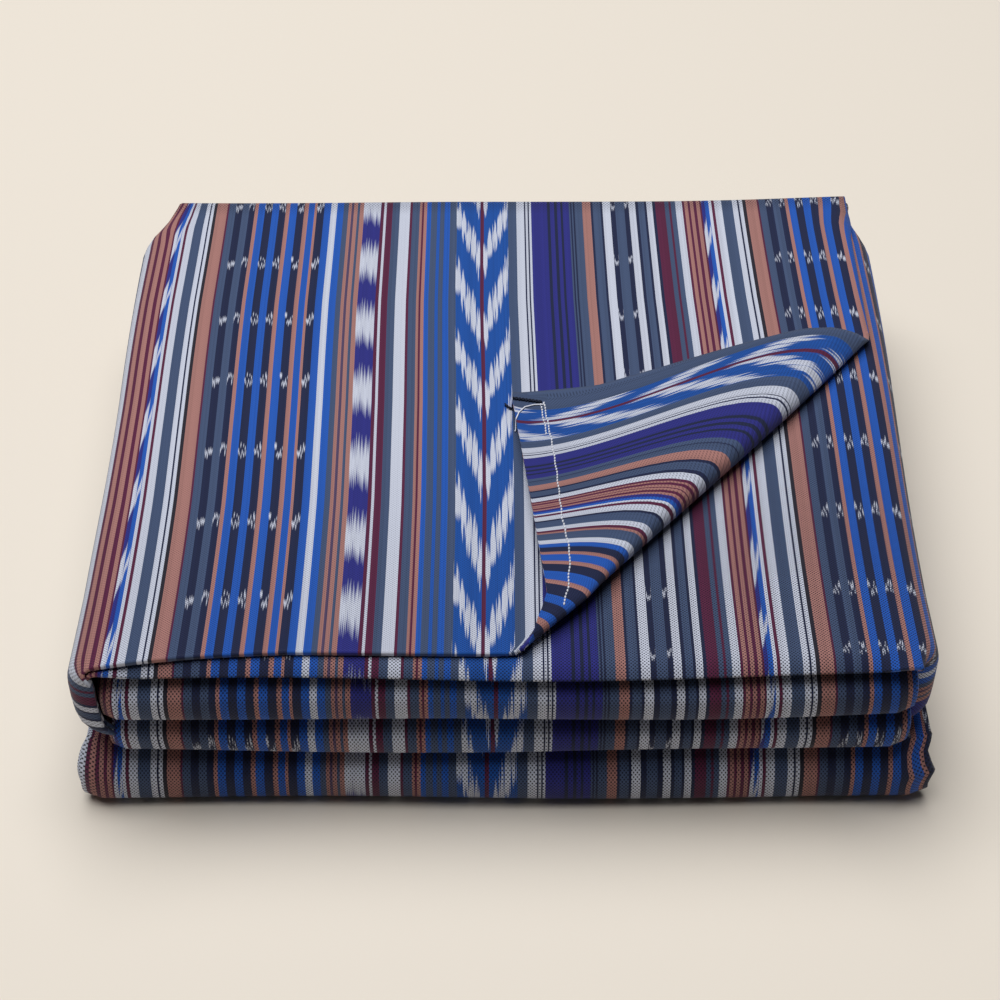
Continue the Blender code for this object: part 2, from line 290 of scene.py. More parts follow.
def bend_side(x, n, lay):
    """A side is bent down, hangs straight, and curls in at its end."""
    excess = abs(x) - lay.half_width
    if excess <= 0:
        return x, n
    side = 0 if x < 0 else 1
    radius = lay.radii[side]
    straight = lay.margins[side] - radius * lay.angle
    hook = min(HOOK, max(straight, 0.0)) if lay.angle > 0 else 0.0
    bends = (
        (radius * lay.angle, 1 / radius),
        (straight - hook, 0.0),
        (math.inf, 1 / HOOK_RADIUS if hook > 0 else 0.0),
    )
    out, down, angle = lay.half_width, 0.0, 0.0
    for length, bend in bends:
        part = min(excess, max(length, 0.0))
        excess -= part
        if bend:
            end = angle + part * bend
            out += (math.sin(end) - math.sin(angle)) / bend
            down += (math.cos(angle) - math.cos(end)) / bend
            angle = end
        else:
            out += part * math.cos(angle)
            down += part * math.sin(angle)
    out -= lay.toward * n * math.sin(angle)
    return math.copysign(out, x), lay.toward * down + n * math.cos(angle)


def curl_front(flat_x, x, y, lay):
    """The front end of a side that hangs down curls in towards the stack."""
    side = 0 if x < 0 else 1
    excess = abs(flat_x) - lay.half_width
    past = CURL_START[side] - y
    if excess <= 0 or past <= 0 or lay.angle == 0:
        return x, y
    down = ease(excess, CURL_GROWS[0] * lay.radii[side], CURL_GROWS[1] * lay.radii[side])
    angle = min(past / CURL_RADIUS[side], CURL_MOST) * down
    if angle < LEAST_CURL:
        return x, y
    radius = past / angle
    middle = abs(bend_side(flat_x, 0.0, lay)[0])
    arm = radius + abs(x) - middle
    return math.copysign(middle - radius + arm * math.cos(angle), x), CURL_START[side] - arm * math.sin(angle)


print("the sides hang down", [round(1000 * sleeve) for sleeve in SLEEVES], "mm, left and right")

# %% [markdown]
# ## The cut end
#
# At the front the top pass ends in the cloth's cut end. The leaf's end runs almost straight, the lower ply
# stops short of it, and the middle ply rolls down over the band below.

# %% The cut end


def middle_roll(x):
    return 1 - ease(abs(x), *MIDDLE_ROLL_FADE)


def leaf_end(x):
    y = float(np.interp(x, LEAF_END_X, LEAF_END_Y))
    return y + LEAF_SKEW * max(x - LEAF_END_X[-1], 0.0)


def cut_end(column, x):
    if column.ply == "leaf":
        return leaf_end(x)
    share = min(column.share, 1.0)
    if column.ply == "middle" and column.part in ("left", "turn"):
        return mix(MIDDLE_PLY_END, leaf_end(-1.0), share if column.part == "left" else 1.0)
    if column.ply == "lower" and column.part in ("right", "turn"):
        return mix(LOWER_PLY_END, MIDDLE_PLY_END, share if column.part == "right" else 1.0)
    if column.ply == "lower":
        return LOWER_PLY_END
    return mix(MIDDLE_PLY_END, MIDDLE_ROLL_START - MIDDLE_ROLL, middle_roll(x))


def roll_middle_end(x, y, z):
    excess = MIDDLE_ROLL_START - y
    angle = max(excess, 0.0) / MIDDLE_ROLL_RADIUS * middle_roll(x)
    if angle == 0:
        return y, z
    radius = excess / angle
    return MIDDLE_ROLL_START - radius * math.sin(angle), z - radius * (1 - math.cos(angle))


print("the leaf's end lies at", round(1000 * leaf_end(0.0), 1), "mm in the middle of the stack")

# %% [markdown]
# ## Along the strip
#
# The strip's own bends carry it from pass to pass. Each row of the grid is one line across the strip: at
# the cut end, on the top pass, round a back fold or a front fold, or in the middle of a lower pass.

# %% Along the strip
SAG_FROM, SAG_TO = -0.1, 0.85  # how high on a front fold its section turns from full to round
BETWEEN_WIDTHS = 0.3  # a lower pass's width lies this far from its band's to the back folds'

Row = namedtuple("Row", "kind number y z radius angle share", defaults=(0, 0.0, 0.0, 0.0, 0.0, 0.0))


def sagging(angle):
    """A front fold sags: it is round above and fuller below."""
    across, up = math.cos(angle), math.sin(angle)
    power = mix(SQUARE_BELOW, ROUND_ABOVE, ease(up, SAG_FROM, SAG_TO))
    return math.copysign(abs(across) ** power, across), math.copysign(abs(up) ** SQUARENESS, up)


def strip_rows():
    heights = pass_heights()
    rows = [Row("end", z=heights[0], share=share) for share in END_SHARES]
    count = round((TOP_BACK - END_LINE) / TOP_STEP)
    rows += [Row("top", y=y, z=heights[0]) for y in spread(count, END_LINE, TOP_BACK)[1:]]
    angles = [mix(math.pi / 2, -math.pi / 2, step / ARC_STEPS) for step in range(ARC_STEPS + 1)]
    for number, (above, below) in enumerate(zip(heights, heights[1:])):
        radius = (above - below) / 2
        kind = "back" if number % 2 == 0 else "front"
        centre = BACK - radius - HALF_STRIP
        if kind == "front":
            centre = BANDS[number // 2].front + radius + HALF_STRIP
        rows += [Row(kind, number, centre, below + radius, radius, angle) for angle in angles]
        rows.append(Row("pass", number + 1, 0.0, below))
    rows[-1] = rows[-1]._replace(y=BACK - HALF_STRIP)
    return rows


def row_lay(row):
    if row.kind in ("end", "top"):
        return top_lay(row.y if row.kind == "top" else END_LINE)
    if row.kind == "back":
        return strip_lay(BACK_HALF_WIDTH)
    half_width = BANDS[(row.number - 1) // 2].half_width
    if row.kind == "pass":
        half_width = mix(half_width, BACK_HALF_WIDTH, BETWEEN_WIDTHS)
    return strip_lay(half_width)


def shape_end(band, x, angle):
    share = min(max((abs(x) - band.half_width) / END_WIDTH, 0.0), 1.0)
    return math.copysign(band.bulge * share * math.cos(angle), x), band.round * share


def place_on_top(column, row, lay):
    """A point of the top pass, from its cut end to the first back fold."""
    flat_x, flat_n = profile(column, lay)
    x, n = bend_side(flat_x, flat_n, lay)
    z = row.z + n + pass_lift(0, x)
    y = mix(cut_end(column, flat_x), END_LINE, row.share) if row.kind == "end" else row.y
    if column.ply == "middle" and column.part == "across":
        y, z = roll_middle_end(x, y, z)
    x, y = curl_front(flat_x, x, y, lay)
    if x < 0:
        x -= LEFT_WIDER * ease(-x, *LEFT_WIDER_X) * ease(-y, *LEFT_WIDER_Y)
    return Vector((x, y, z))


def place(column, row, lay):
    if row.kind in ("end", "top"):
        return place_on_top(column, row, lay)
    flat_x, flat_n = profile(column, lay)
    x, n = bend_side(flat_x, flat_n, lay)
    if row.kind == "pass":
        up = 1 if row.number % 2 == 0 else -1
        return Vector((x, row.y, row.z + up * n + pass_lift(row.number, x)))
    share_up = (1 + math.sin(row.angle)) / 2
    z = row.z + mix(pass_lift(row.number + 1, x), pass_lift(row.number, x), share_up)
    if row.kind == "back":
        reach = row.radius + n
        return Vector((x, row.y + reach * math.cos(row.angle), z + reach * math.sin(row.angle)))
    across, up = sagging(row.angle)
    swell, back = shape_end(BANDS[(row.number - 1) // 2], flat_x, row.angle)
    return Vector((x + swell, row.y - (row.radius - n) * across + back, z + (row.radius - n) * up))


print(len(strip_rows()), "rows along the strip")

# %% [markdown]
# ## Laid by hand
#
# No hand lays cloth dead straight. Slow waves run through the whole stack, its lowest corner at the front
# right is crumpled, and its upper back corners lie a little to the right. A displacement by noise would
# push one ply through the next. Here a point moves by its place alone, so neighbours stay neighbours.

# %% Laid by hand
Wave = namedtuple("Wave", "along_first along_second start")  # radians for each metre, and radians
WAVE_SIZE = 0.0007  # how far the waves carry the stack's sides
WAVE_AT = 0.15
SIDE_WAVE = Wave(26.0, 90.0, 0.6)
FRONT_WAVE = Wave(29.0, 110.0, 0.0)
SWELL = 0.010  # how much the height comes and goes
SWELL_ACROSS = (21.0, 0.5)
SWELL_ALONG = (17.0, 1.1)
CRUMPLE_X = (0.146, 0.160)
CRUMPLE_Y = (0.09, 0.14)
CRUMPLE_Z = (0.0, 0.002, 0.005, 0.009, 0.012, 0.017, 0.022, 0.027)
CRUMPLE_IN = (0.0065, 0.0038, 0.0016, 0.0028, 0.0022, 0.0010, 0.0040, 0.0)
BACK_CORNERS = (0.0045, 0.0030)  # how far the upper back corners lie to the right: left one, right one
BACK_CORNERS_X = (0.132, 0.155)
BACK_CORNERS_Y = (0.120, 0.145)
BACK_CORNERS_Z = (0.050, 0.075)


def wave(shape, first, second):
    return math.sin(shape.along_first * first + shape.along_second * second + shape.start)


def hand_laid(point):
    x, y, z = point
    corner = ease(x, *CRUMPLE_X) * ease(-y, *CRUMPLE_Y)
    moved = -float(np.interp(z, CRUMPLE_Z, CRUMPLE_IN)) * corner
    back = ease(y, *BACK_CORNERS_Y) * ease(z, *BACK_CORNERS_Z)
    moved += back * BACK_CORNERS[0] * ease(-x, *BACK_CORNERS_X)
    moved += back * BACK_CORNERS[1] * ease(x, *BACK_CORNERS_X)
    across = math.sin(SWELL_ACROSS[0] * x + SWELL_ACROSS[1])
    along = math.sin(SWELL_ALONG[0] * y + SWELL_ALONG[1])
    return Vector((
        x + WAVE_SIZE * wave(SIDE_WAVE, y, z) * x / WAVE_AT + moved,
        y + WAVE_SIZE * wave(FRONT_WAVE, x, z) * y / WAVE_AT,
        z * (1 + SWELL * across * along),
    ))


print("the lowest corner is pushed in by up to", 1000 * max(CRUMPLE_IN), "mm")

# %% [markdown]
# ## Where the stripes lie
#
# Every point also carries its place in the weave, as named numbers that the material reads later. The first
# is its place across the stripes. Each layer was laid down a little to one side of the next, so the stripes
# step from layer to layer. An unwrapped map of the cloth would hold the same, but these numbers are already
# in millimetres of cloth.

# %% Places across the stripes
LEAF_SELVAGE = 155.0  # the leaf's selvage, where the wrong side's stripes start, in millimetres
Shift = namedtuple("Shift", "scale offset")  # millimetres in the layer = scale x stripe + offset
LEAF_SHIFT_Y = (-0.110, -0.056, 0.004, 0.071, 0.136)
LEAF_SHIFT_OFFSET = (-4.6, -4.5, -5.0, -6.3, -6.6)
LEAF_SHIFT_SCALE = (1.008, 1.010, 1.014, 1.016, 1.018)
SECOND_SHIFT = Shift(1.011, -1.9)
BAND_SHIFTS = (Shift(1.0, 0.0), Shift(1.013, -1.2), Shift(1.015, -3.5))
SIDE_SQUEEZE = 3.6  # how much closer the stripes lie where the left side turns down, in millimetres
SIDE_SQUEEZE_X = (128.0, 150.0)


def stripe_place(column, row, lay, y):
    """Millimetres across the stripes, counted from the middle of the uppermost band."""
    flat_x = profile(column, lay)[0] * 1000
    if row.kind in ("end", "top") or (row.kind == "back" and row.number == 0):
        shift = SECOND_SHIFT
        if column.ply == "leaf" or column.part == "left":
            shift = Shift(
                float(np.interp(y, LEAF_SHIFT_Y, LEAF_SHIFT_SCALE)),
                float(np.interp(y, LEAF_SHIFT_Y, LEAF_SHIFT_OFFSET)),
            )
            flat_x -= SIDE_SQUEEZE * ease(-flat_x, *SIDE_SQUEEZE_X)
    else:
        number = row.number - 1 if row.kind == "pass" else row.number
        shift = BAND_SHIFTS[min(max((number - 1) // 2, 0), len(BANDS) - 1)]
    return (flat_x - shift.offset) / shift.scale


print("the lowest band's stripes lie", BAND_SHIFTS[-1].offset, "mm beside the uppermost's")

# %% [markdown]
# ## Where the ikat patches lie
#
# The dyer tied the yarns at even distances, so the white patches come in rows. Three kinds of patch are
# counted apart: the short dashes, the tips of the chevrons and the blocks. A count that is a whole number
# puts the middle of a patch there. Where each row lies is read from the cloth, as hand ties are uneven.

# %% Places along the threads
DASH_ROWS = (-0.1108, -0.0675, -0.0262, 0.0188, 0.0596, 0.0988, 0.1412)
TIP_ROWS = (-0.1332, -0.0922, -0.0405, 0.0060, 0.0493, 0.1010)
BLOCK_ROWS = (-0.1149, -0.0775, -0.0340, 0.0111, 0.0548, 0.0995, 0.1412)
BAND_PHASES = ((0.30, 0.50, 0.50), (0.05, 0.75, 0.00), (0.50, 0.45, 0.90))  # dash, tip, block
REPEAT = 0.043
PASS_COUNT = 3.5  # repeats in the middle of a lower pass, halfway from its front bend's to its back bend's
INNER_LATE = 0.0056  # how far behind the leaf's the inner ply's dashes lie
INNER_LATE_Y = (-0.05, 0.05)
INNER_REPEAT = 0.030


def ikat_count(rows, y):
    """How many repeats lie before y. It is a whole number on each of the rows."""
    if y < rows[0]:
        return (y - rows[0]) / REPEAT
    if y > rows[-1]:
        return len(rows) - 1 + (y - rows[-1]) / REPEAT
    return float(np.interp(y, rows, range(len(rows))))


def run_length(row, y):
    """How far along the threads a row lies: y on the top pass, and from there on round the back fold.
    On a front fold it is counted from the foremost line, upwards."""
    if row.kind == "back":
        return row.y + (row.radius + PLY_PITCH) * (math.pi / 2 - row.angle)
    if row.kind == "front":
        return (row.radius + PLY_PITCH) * row.angle
    return y


def thread_places(column, row, y):
    """(dash, tip, block) repeats before a row of the grid."""
    along = run_length(row, y)
    if row.kind == "pass":
        return [PASS_COUNT] * 3
    if row.kind == "front":
        return [phase + along / REPEAT for phase in BAND_PHASES[(row.number - 1) // 2]]
    dash, tip, block = (ikat_count(rows, along) for rows in (DASH_ROWS, TIP_ROWS, BLOCK_ROWS))
    if row.kind in ("end", "top") and column.ply != "leaf" and column.part != "left":
        later = along - INNER_LATE * ease(-along, *INNER_LATE_Y)
        dash = ikat_count(DASH_ROWS, later)
        if later < DASH_ROWS[0]:
            dash = (later - DASH_ROWS[0]) / INNER_REPEAT
    return [dash, tip, block]


print("rows of dashes on the top:", len(DASH_ROWS), "and rows of chevron tips:", len(TIP_ROWS))

# %% [markdown]
# ## Where the weave opens, and painted shade
#
# Where cloth bends, its warp yarns part a little and the dark weft shows between them. So each point also
# carries how open the weave is there: most on the bands, and least on the flat back of the leaf. The same
# number also darkens the bands and the front of the inner plies as painted shade.

# %% Where the weave opens, and painted shade
# The numbers for the bands and the inner plies are partly an opened weave and partly painted shade.
OPEN_AND_SHADE_BANDS = 1.0
OPEN_LEAF = (0.16, 0.62)  # at the back, at the front
OPEN_LEAF_Y = (0.0, 0.15)
OPEN_AND_SHADE_INNER = (0.30, 1.0)
OPEN_AND_SHADE_INNER_Y = (-0.04, 0.11)
OPEN_FLAP = 0.5


def openness(column, row, y):
    """How much the bending opens the weave, with painted shade on the bands and the inner plies' front: from
    0 to 1.
    """
    if row.kind not in ("end", "top"):
        return OPEN_AND_SHADE_BANDS
    if column.ply != "leaf":
        return mix(*OPEN_AND_SHADE_INNER, ease(-y, *OPEN_AND_SHADE_INNER_Y))
    return mix(*OPEN_LEAF, ease(-y, *OPEN_LEAF_Y))


print("the weave opens from", min(OPEN_LEAF), "on the leaf to", OPEN_AND_SHADE_BANDS, "on the bands")

# %% [markdown]
# ## Stripes on the turned corner
#
# The front right corner of the top leaf is rolled over and lies on the leaf, wrong side up. It was pulled
# askew as it was turned, so the stripes on it run in curves. The list holds some of its stripes, and the
# places on the flap that each runs through, as read off the cloth. A smooth surface through them gives every
# other stripe. Turning the leaf's own stripes over would be simpler, but then they would run straight.

# %% Stripes on the turned corner
# Each entry is a stripe, in millimetres from the selvage, and the places it runs through, in millimetres.
FLAP_STRIPES = {
    0.5: ((2.5, 2.5), (9.5, 0), (38.5, 3), (80.5, 22.5), (124, 42.5), (137, 44.5), (151.5, 40)),
    16.0: ((26, -14.5), (48, -8), (68, 2.5), (95, 17)),
    33.7: ((5.5, -32.5), (25.5, -33), (49.5, -26.5), (68, -16), (87, -7), (99.5, -4.5), (111, -8)),
    57.5: ((8.5, -56), (25, -52.5), (42.5, -46.5), (56, -41.5), (66.5, -40), (77.5, -41.5), (86.5, -45)),
    64.9: ((9, -63), (22.5, -60), (40, -54), (55.5, -50), (66, -49.5), (76.5, -54.5)),
    68.7: ((9.5, -67.5), (24.5, -64), (42, -60), (55, -57.5), (65.5, -58), (72.5, -60.5)),
    76.3: ((10.5, -74), (24.5, -73.5), (38.5, -69), (52.5, -68.5), (64, -71)),
    82.3: ((11.5, -80.5), (24, -79.5), (36, -77.5), (47, -78.5), (57.5, -81)),
    89.0: ((12, -86.5), (24, -87), (35.5, -89), (46.5, -93)),
    94.5: ((14.5, -93), (27, -95.5), (39.5, -100)),
    99.0: ((14, -97), (25, -100.5), (37, -105)),
    107.5: ((14, -105), (22.5, -109), (29.5, -113)),
    124.5: ((11, -122.5), (14.5, -125.5), (16.5, -127.5)),
    134.0: ((7, -134),),
}
SURFACE_POWER = 3
LEAST_FROM_SELVAGE = 0.3
FLAP_TIPS = (0.0224, 0.0627)  # where two chevrons on the flap have their points


def powers(x, y):
    """The terms of a smooth surface at a place in decimetres."""
    return [x**i * y**j for i in range(SURFACE_POWER + 1) for j in range(SURFACE_POWER + 1 - i)]


flap_terms = [powers(x / 100, y / 100) for places in FLAP_STRIPES.values() for x, y in places]
flap_values = [stripe for stripe, places in FLAP_STRIPES.items() for _ in places]
FLAP_SURFACE = np.linalg.lstsq(np.array(flap_terms), np.array(flap_values), rcond=None)[0]


def askew(x, y):
    """Millimetres from the selvage at a place on the flap."""
    return max(float(np.dot(powers(10 * x, 10 * y), FLAP_SURFACE)), LEAST_FROM_SELVAGE)


misses = np.array(flap_terms) @ FLAP_SURFACE - np.array(flap_values)
print(len(flap_values), "places, missed by", round(float(np.abs(misses).mean()), 1), "mm on average")

# %% [markdown]
# ## The turned corner
#
# Folding could be done with a bend modifier, but that bends everything it touches. Here the leaf's faces
# alone are cut along lines beside the crease, and the points beyond it are rolled over. The flap's two
# edges aren't straight, so they are pulled a little afterwards.

# %% The turned corner
ROLL_CUTS = 16
FLAP_CUTS = (0.004, 0.009, 0.015, 0.022)
SNAP = 0.0002
CREASE_BOW = 0.0028  # how far the crease bows out in its middle
CREASE_BOW_ENDS = 0.04
PULL_FADE = 60.0  # in millimetres from the flap's edges
SELVAGE_X = (0.0023, 0.0096, 0.0383, 0.0805, 0.1240, 0.1369, 0.1516)
SELVAGE_PULL = (-0.0040, -0.0060, -0.0085, 0.0002, 0.0091, 0.0078, 0.0)
CUT_Y = (-0.1345, -0.1193, -0.1116, -0.0484, 0.0025)
CUT_PULL = (0.0, 0.0047, 0.0068, 0.0009, -0.0036)
TURNED_FROM, TURNED_TO = 0.9, 2.6  # the pull comes in between these lines, in radii of the roll
WOVEN_FROM, WOVEN_TO = 0.2, 1.3  # and the flap's own stripes between these


def pull(place, from_selvage, from_cut):
    """The flap's edges aren't straight. The pull fades away inside the flap."""
    sideways = float(np.interp(place.y, CUT_Y, CUT_PULL)) * (1 - ease(from_cut, 0.0, PULL_FADE))
    along = float(np.interp(place.x, SELVAGE_X, SELVAGE_PULL)) * (1 - ease(from_selvage, 0.0, PULL_FADE))
    return Vector((sideways, along, 0.0))


def turn_corner_back(cloth, leaf_faces, height):
    start = Vector((*CREASE_START, height))
    end = Vector((*CREASE_END, height))
    along = (end - start).normalized()
    outward = Vector((along.y, -along.x, 0.0))
    origin = start - outward * ROLL_RADIUS
    turn = math.pi * ROLL_RADIUS
    cuts = spread(ROLL_CUTS, 0.0, turn) + [turn + cut for cut in FLAP_CUTS]
    faces = leaf_faces
    for cut in cuts:
        parts = faces + list({e for f in faces for e in f.edges}) + list({v for f in faces for v in f.verts})
        found = bmesh.ops.bisect_plane(
            cloth, geom=parts, dist=SNAP, plane_co=origin + outward * cut, plane_no=outward
        )
        faces = [item for item in found["geom"] if isinstance(item, bmesh.types.BMFace)]
    length = (end - start).length
    leaf = {v for f in cloth.faces if f[cloth.faces.layers.int["leaf"]] for v in f.verts}
    furthest = max((v.co - origin).dot(outward) for v in leaf)
    across, count = (cloth.verts.layers.float[name] for name in ("across", "tip"))
    opened = cloth.verts.layers.float["open"]
    beyond_crease = [vertex for vertex in leaf if (vertex.co - origin).dot(outward) > 0]
    for vertex in beyond_crease:
        away = (vertex.co - origin).dot(outward)
        share = min(max((vertex.co - origin).dot(along) / length, 0.0), 1.0)
        from_selvage = LEAF_SELVAGE - vertex[across]
        from_cut = 1000 * (vertex.co.y - leaf_end(vertex.co.x))
        vertex.co += rolled(away, share, furthest, outward)
        turned = ease(away, TURNED_FROM * ROLL_RADIUS, TURNED_TO * ROLL_RADIUS)
        woven = ease(away, WOVEN_FROM * ROLL_RADIUS, WOVEN_TO * ROLL_RADIUS)
        vertex.co += turned * pull(vertex.co, from_selvage, from_cut)
        bow = ease(away, 0.0, ROLL_RADIUS) * (1 - ease(away, 2 * ROLL_RADIUS, CREASE_BOW_ENDS))
        vertex.co += outward * CREASE_BOW * math.sin(math.pi * share) * bow
        tips = (vertex.co.x - FLAP_TIPS[0]) / (FLAP_TIPS[1] - FLAP_TIPS[0])
        vertex[across] = mix(vertex[across], LEAF_SELVAGE - askew(vertex.co.x, vertex.co.y), woven)
        vertex[count] = mix(vertex[count], tips, woven)
        vertex[opened] = mix(vertex[opened], OPEN_FLAP, woven)
    print(len(beyond_crease), "points of the leaf are rolled over")


def rolled(away, share, furthest, outward):
    radius = ROLL_RADIUS * mix(ROLL_END_SHARE, 1.0, math.sin(math.pi * share))
    turn = math.pi * ROLL_RADIUS
    angle = min(away / ROLL_RADIUS, math.pi)
    back = max(away - turn, 0.0)
    out = ROLL_RADIUS * math.sin(angle) - back
    up = radius * (1 - math.cos(angle))
    if back > 0:
        up = mix(up, PLY_PITCH, ease(back, 0.0, furthest - turn))
    return outward * (out - away) + Vector((0.0, 0.0, up))


print("the crease is", round(1000 * math.dist(CREASE_START, CREASE_END)), "mm long")

# %% [markdown]
# ## The sheet
#
# The grid is woven into faces, and the Solidify modifier gives them the cloth's thickness. It keeps the
# face and the wrong side apart, so each side can have its own material.

# %% Build the sheet
PLACES = ("across", "along", "dash", "tip", "block", "open")


def weave_points(cloth, across, along):
    """The points of the grid, row by row, each with its place in the weave."""
    layers = [cloth.verts.layers.float.new(name) for name in PLACES]
    grid = []
    woven_length = 0.0
    last_middle = None
    for row in along:
        lay = row_lay(row)
        line = []
        middle = place(across[len(across) // 2], row, lay)
        woven_length += (middle - last_middle).length if last_middle else 0.0
        last_middle = middle
        for column in across:
            vertex = cloth.verts.new(place(column, row, lay))
            y = vertex.co.y
            if row.kind == "end":
                y = mix(cut_end(column, profile(column, lay)[0]), END_LINE, row.share)
            values = [stripe_place(column, row, lay, y), woven_length * 1000]
            values += thread_places(column, row, y) + [openness(column, row, y)]
            for layer, value in zip(layers, values):
                vertex[layer] = value
            line.append(vertex)
        grid.append(line)
    return grid


def is_leaf(column):
    return column.ply == "leaf" and column.part == "across"


def build_sheet():
    cloth = bmesh.new()
    across = columns()
    along = strip_rows()
    grid = weave_points(cloth, across, along)
    leaf_tag = cloth.faces.layers.int.new("leaf")
    leaf_faces = []
    for upper, lower, row in zip(grid, grid[1:], along):
        for number in range(len(across) - 1):
            corners = (upper[number], upper[number + 1], lower[number + 1], lower[number])
            face = cloth.faces.new(corners)
            face.smooth = True
            if is_leaf(across[number]) and row.kind in ("end", "top"):
                leaf_faces.append(face)
                face[leaf_tag] = 1
                face.material_index = 1
    hem = {vertex for vertex, column in zip(grid[0], across) if is_leaf(column)}
    turn_corner_back(cloth, leaf_faces, pass_heights()[0] + PLY_PITCH)
    for vertex in cloth.verts:
        vertex.co = hand_laid(vertex.co)
    mesh = bpy.data.meshes.new("cloth_sheet")
    cloth.verts.index_update()
    hem_numbers = [vertex.index for vertex in hem]
    cloth.to_mesh(mesh)
    cloth.free()
    return mesh, hem_numbers


sheet_mesh, hem_numbers = build_sheet()
sheet = bpy.data.objects.new("ikat_cloth", sheet_mesh)
bpy.context.scene.collection.objects.link(sheet)
group = sheet.vertex_groups.new(name="thickness")
group.add(list(range(len(sheet_mesh.vertices))), THICKNESS / HEM_THICKNESS, "REPLACE")
group.add(hem_numbers, 1.0, "REPLACE")
thicken = sheet.modifiers.new("Thickness", "SOLIDIFY")
thicken.thickness = HEM_THICKNESS
thicken.offset = 0.0
thicken.use_even_offset = True
thicken.vertex_group = group.name
thicken.material_offset = 1
print(len(sheet_mesh.polygons), "faces in the sheet")

# %% [markdown]
# ## The yarns
#
# The colours are those of the dyed cotton yarns, read from the cloth. Each is an sRGB hex value,
# and one function turns it into the linear numbers that the shader works with.

# %% Yarn colours


def linear(hex_colour):
    """sRGB hex to linear red, green, blue and alpha."""
    parts = [int(hex_colour[i:i + 2], 16) / 255 for i in (1, 3, 5)]
    return [p / 12.92 if p <= 0.04045 else ((p + 0.055) / 1.055) ** 2.4 for p in parts] + [1.0]


YARNS = {
    "W": "#c3c8d8",  # undyed white
    "S": "#3f4f6f",  # slate
    "D": "#172042",  # dark navy
    "K": "#221f2b",  # brown-black
    "B": "#1b54b0",  # bright blue
    "C": "#104b9c",  # the chevron's blue
    "M": "#561a3c",  # maroon
    "R": "#a1726c",  # rust
    "P": "#27297c",  # purple
    "Q": "#50405f",  # slate and maroon mixed
}

print(len(YARNS), "colours of yarn")

# %% [markdown]
# ## The order of the stripes
#
# A weaver writes a warping order: how wide each stripe is, and which yarn it takes. This is that list, in
# millimetres, for one repeat of 238 mm. A letter after the yarn says which ikat yarns lie in the stripe:
# d for short dashes, c for the big chevrons, b for blocks, and v and w for the two thin ikat lines.

# %% Warping order
FACE_ORDER = """
2.9 W, 1.0 M, 1.6 R, 1.0 M, 1.4 R, 1.2 M, 1.6 R, 0.9 M, 1.5 Pv, 1.6 Bw, 1.4 W, 1.1 M, 3.4 W, 4.9 S, 2.2 W,
0.8 D, 1.5 W, 1.5 K, 5.0 R, 0.9 M, 3.0 S, 3.0 Dd, 2.9 S, 2.5 Dd, 1.6 R, 3.1 B, 3.2 Dd, 3.1 B, 3.0 Dd, 1.9 R,
3.1 B, 3.3 Dd, 1.8 R, 2.7 B, 1.2 R, 3.2 Dd, 3.1 B, 2.7 W, 2.9 B, 2.1 S, 1.5 R, 1.0 Q, 1.6 R, 1.1 S, 1.9 R,
7.7 Pb, 1.2 M, 1.2 W, 2.7 M, 3.4 S, 4.5 W, 1.0 M, 3.4 S, 1.1 R, 0.8 M, 1.4 R, 1.9 B, 2.5 S, 1.4 B, 2.1 S,
2.5 B, 2.9 S, 10.6 Cc, 1.4 M, 10.9 Cc, 3.8 S, 3.4 W, 0.5 D, 0.9 W, 0.7 D, 1.1 W, 7.2 P, 1.1 D, 2.0 P,
1.1 D, 1.7 P, 1.0 D, 2.7 P, 0.8 S, 0.5 D, 0.7 S, 0.7 D, 3.2 S, 3.9 R, 1.1 D, 3.3 S, 1.0 D, 3.5 W, 2.2 Dd,
4.2 S, 2.0 Dd, 3.0 W, 1.2 D, 2.8 S, 1.0 D, 2.6 W, 1.3 D, 4.2 M, 1.9 S, 0.9 M, 2.1 S
"""
REVERSE_ORDER = """
8.2 S, 7.0 Cc, 1.6 M, 11.1 Cc, 4.3 S, 3.0 W, 0.5 D, 0.8 W, 0.5 D, 1.5 W, 5.0 P, 0.9 D, 1.6 P, 0.9 D, 1.3 P,
0.9 D, 2.6 P, 1.4 S, 0.4 D, 2.3 S, 3.3 R, 0.8 D, 2.8 S, 1.1 D, 2.2 W, 0.6 M, 0.8 R, 0.6 M, 0.8 R, 0.5 M,
0.7 R, 0.6 M, 0.9 R, 0.9 P, 0.9 B, 0.8 W, 1.0 M, 2.3 W, 0.6 D, 3.4 S, 1.7 W, 1.0 M, 0.8 R, 3.1 S, 1.9 W,
1.8 B, 2.2 D, 1.3 R, 3.1 B, 1.3 R, 3.3 D, 3.7 B, 1.8 R, 4.5 D, 3.5 B, 3.9 D, 3.0 B, 2.5 R, 3.9 D, 3.1 B,
3.8 W, 6.0 P
"""
FIRST_STRIPE = -155.1  # where the repeat starts on the uppermost band, in millimetres from the middle

Stripe = namedtuple("Stripe", "start end yarn ikat")


def read_order(text):
    stripes = []
    place_so_far = 0.0
    for entry in text.replace("\n", " ").split(","):
        width, kind = entry.split()
        stripes.append(Stripe(place_so_far, place_so_far + float(width), kind[0], kind[1:]))
        place_so_far += float(width)
    return stripes


face_stripes = read_order(FACE_ORDER)
reverse_stripes = read_order(REVERSE_ORDER)
print(len(face_stripes), "stripes in", round(face_stripes[-1].end, 1), "mm")
print(len(reverse_stripes), "stripes on the wrong side in", round(reverse_stripes[-1].end, 1), "mm")

# %% [markdown]
# ## Adding nodes
#
# A material is a network of nodes. This one function adds any node, sets it and links it, so the network
# below reads as a list of steps. A node given as an input is linked by its first output in use.

# %% Adding nodes


